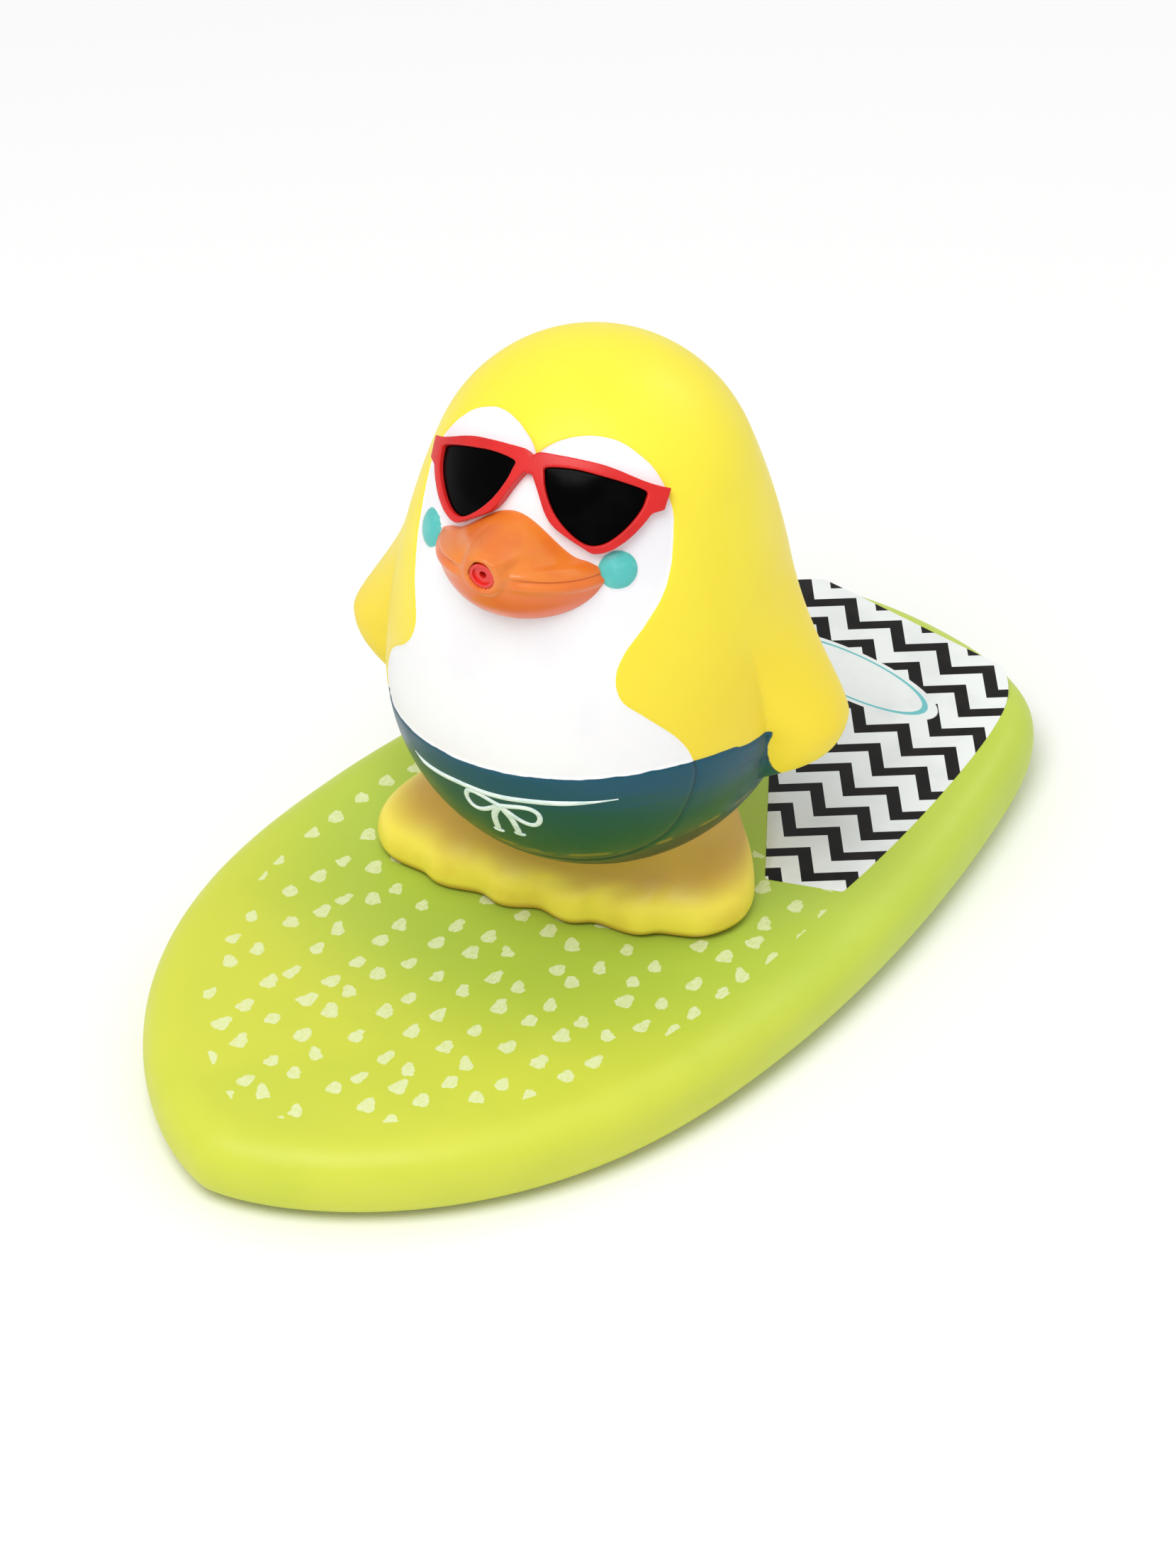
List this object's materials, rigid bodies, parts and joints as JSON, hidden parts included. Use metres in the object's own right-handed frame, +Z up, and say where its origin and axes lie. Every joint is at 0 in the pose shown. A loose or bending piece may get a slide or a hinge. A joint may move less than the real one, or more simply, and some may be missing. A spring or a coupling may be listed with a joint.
{
  "type": "floating bath squirt toy",
  "caption": "Round bird figure with sunglasses and a squirting beak, turning and lifting off a hollow floating surfboard.",
  "frame": {"origin": "middle of the board's flat underside", "axes": "+Z up, -Y to the board's nose, +Y to its tail, +X to the figure's left-hand side"},
  "size_m": [0.097, 0.18, 0.1096],
  "materials": {
    "board_vinyl": "satin soft vinyl",
    "body_vinyl": "satin soft vinyl with painted face, belly and trunks",
    "foot_vinyl": "satin soft vinyl",
    "beak_vinyl": "semi-gloss paint",
    "nozzle_red": "gloss",
    "frame_red": "semi-gloss",
    "lens_black": "high gloss",
    "rigid_white": "matte",
    "pad_print": "satin printed film"
  },
  "bodies": {
    "board": {"board_shell": "board_vinyl", "board_socket": "rigid_white", "board_plug": "board_vinyl", "tail_pad": "pad_print"},
    "peg": {"swivel_peg": "rigid_white"},
    "figure": {"foot_base": "foot_vinyl", "body_shell": "body_vinyl", "beak": "beak_vinyl", "squirt_nozzle": "nozzle_red", "sunglasses_frame": "frame_red", "lens_left": "lens_black", "lens_right": "lens_black"}
  },
  "joints": [
    {"name": "figure_turn", "type": "hinge", "parent": "board", "child": "peg", "pos_m": [0, 0.0028, 0.013], "axis": [0, 0, 1], "continuous": true},
    {"name": "figure_lift", "type": "slide", "parent": "peg", "child": "figure", "axis": [0, 0, 1], "range_m": [0, 0.02]}
  ]
}
